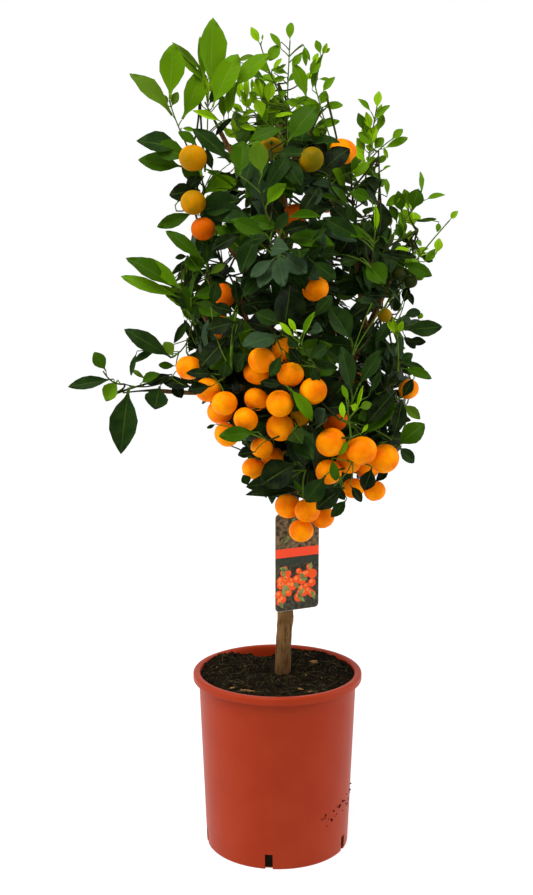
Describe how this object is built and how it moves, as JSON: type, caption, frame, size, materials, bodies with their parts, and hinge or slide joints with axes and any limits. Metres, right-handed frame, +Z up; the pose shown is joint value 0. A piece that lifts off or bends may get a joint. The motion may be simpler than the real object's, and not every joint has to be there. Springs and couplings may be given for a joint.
{
  "type": "calamondin orange tree in a nursery pot",
  "caption": "Slim potted calamondin orange tree: bare stem, open upright crown hung with small round orange fruit, round plastic nursery pot, plain hanging label.",
  "frame": {"origin": "centre of the pot's flat underside", "axes": "+Z up along the tree; -Y towards the side that the label faces; +X to the right as seen from there"},
  "size_m": [0.4387, 0.3033, 0.9579],
  "materials": {
    "pot": "satin moulded terracotta-coloured plastic",
    "compost": "dark crumbly compost, matte",
    "bark": "grey-brown bark, matte",
    "label": "printed plastic card with no words, satin",
    "foliage": "glossy green leaves with orange fruit"
  },
  "bodies": {
    "root": {"pot": "pot", "compost": "compost", "trunk": "bark", "label": "label", "bough_top_centre": "bark", "foliage_top_centre": "foliage", "bough_top_left": "bark", "foliage_top_left": "foliage", "bough_top_right": "bark", "foliage_top_right": "foliage", "bough_upper_left": "bark", "foliage_upper_left": "foliage", "bough_upper_front": "bark", "foliage_upper_front": "foliage", "bough_middle_front": "bark", "foliage_middle_front": "foliage", "bough_upper_back": "bark", "foliage_upper_back": "foliage", "bough_right_tip": "bark", "foliage_right_tip": "foliage", "bough_right_top": "bark", "foliage_right_top": "foliage", "bough_upper_right": "bark", "foliage_upper_right": "foliage", "bough_right": "bark", "foliage_right": "foliage", "bough_low_right": "bark", "foliage_low_right": "foliage", "bough_left": "bark", "foliage_left": "foliage", "bough_droop": "bark", "foliage_droop": "foliage", "bough_low_left": "bark", "foliage_low_left": "foliage", "bough_front": "bark", "foliage_front": "foliage", "bough_low_front": "bark", "foliage_low_front": "foliage", "bough_back_left": "bark", "foliage_back_left": "foliage", "bough_back_right": "bark", "foliage_back_right": "foliage", "bough_low_back_left": "bark", "foliage_low_back_left": "foliage", "bough_low_back_right": "bark", "foliage_low_back_right": "foliage", "bough_bottom_left": "bark", "foliage_bottom_left": "foliage", "bough_bottom_right": "bark", "foliage_bottom_right": "foliage", "bough_bottom_back": "bark", "foliage_bottom_back": "foliage", "bough_bottom_front": "bark", "foliage_bottom_front": "foliage"}
  },
  "joints": []
}
